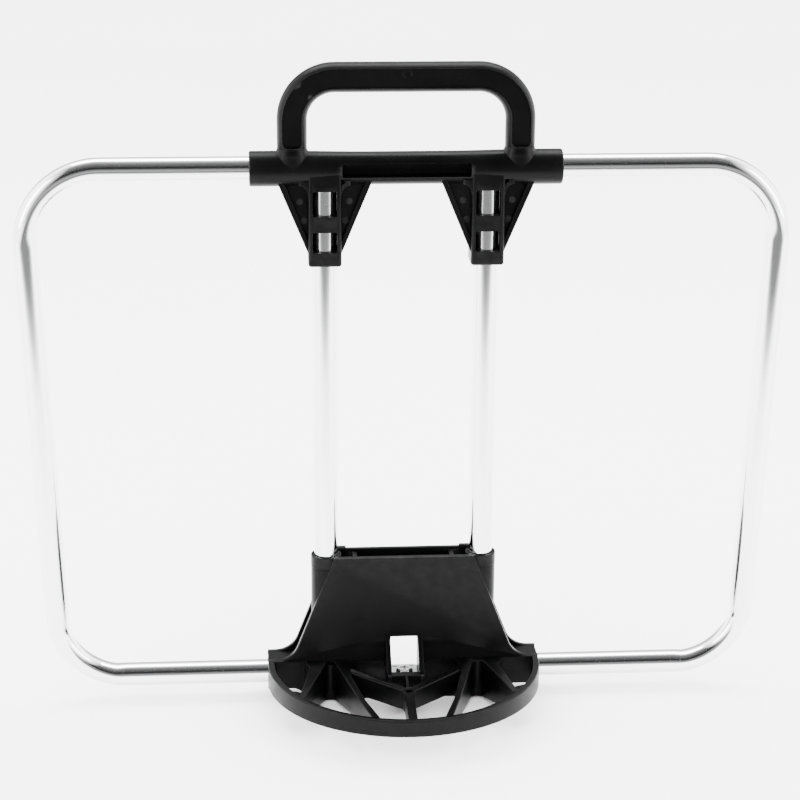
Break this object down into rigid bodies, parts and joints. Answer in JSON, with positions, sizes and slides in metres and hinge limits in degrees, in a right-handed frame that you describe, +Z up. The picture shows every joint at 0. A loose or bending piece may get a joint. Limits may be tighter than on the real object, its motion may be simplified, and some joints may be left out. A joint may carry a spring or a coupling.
{
  "type": "folding bicycle luggage carrier frame",
  "caption": "Rigid luggage carrier frame: bent tube loop and uprights between a carry handle moulding and a base moulding with a half-round shelf.",
  "frame": {"origin": "middle of the carrier block pocket's mouth, on the plane the base stands on and in the plane of the tube axes", "axes": "+X across the frame to the right seen from the shelf's side, +Y away from the shelf towards the bicycle, +Z up towards the handle"},
  "size_m": [0.399, 0.0957, 0.3464],
  "materials": {
    "moulding": "satin moulded black plastic",
    "tube": "polished and clear anodised",
    "catch_plate": "zinc plated",
    "catch_screw": "zinc plated",
    "plug": "moulded"
  },
  "bodies": {
    "root": {"handle_moulding": "moulding", "base_moulding": "moulding", "left_loop_tube": "tube", "right_loop_tube": "tube", "left_upright": "tube", "right_upright": "tube", "catch_plate": "catch_plate", "catch_screw": "catch_screw", "left_top_plug": "plug", "right_top_plug": "plug", "left_bottom_plug": "plug", "right_bottom_plug": "plug", "left_head_plug": "plug", "right_head_plug": "plug", "left_foot_plug": "plug", "right_foot_plug": "plug"}
  },
  "joints": []
}
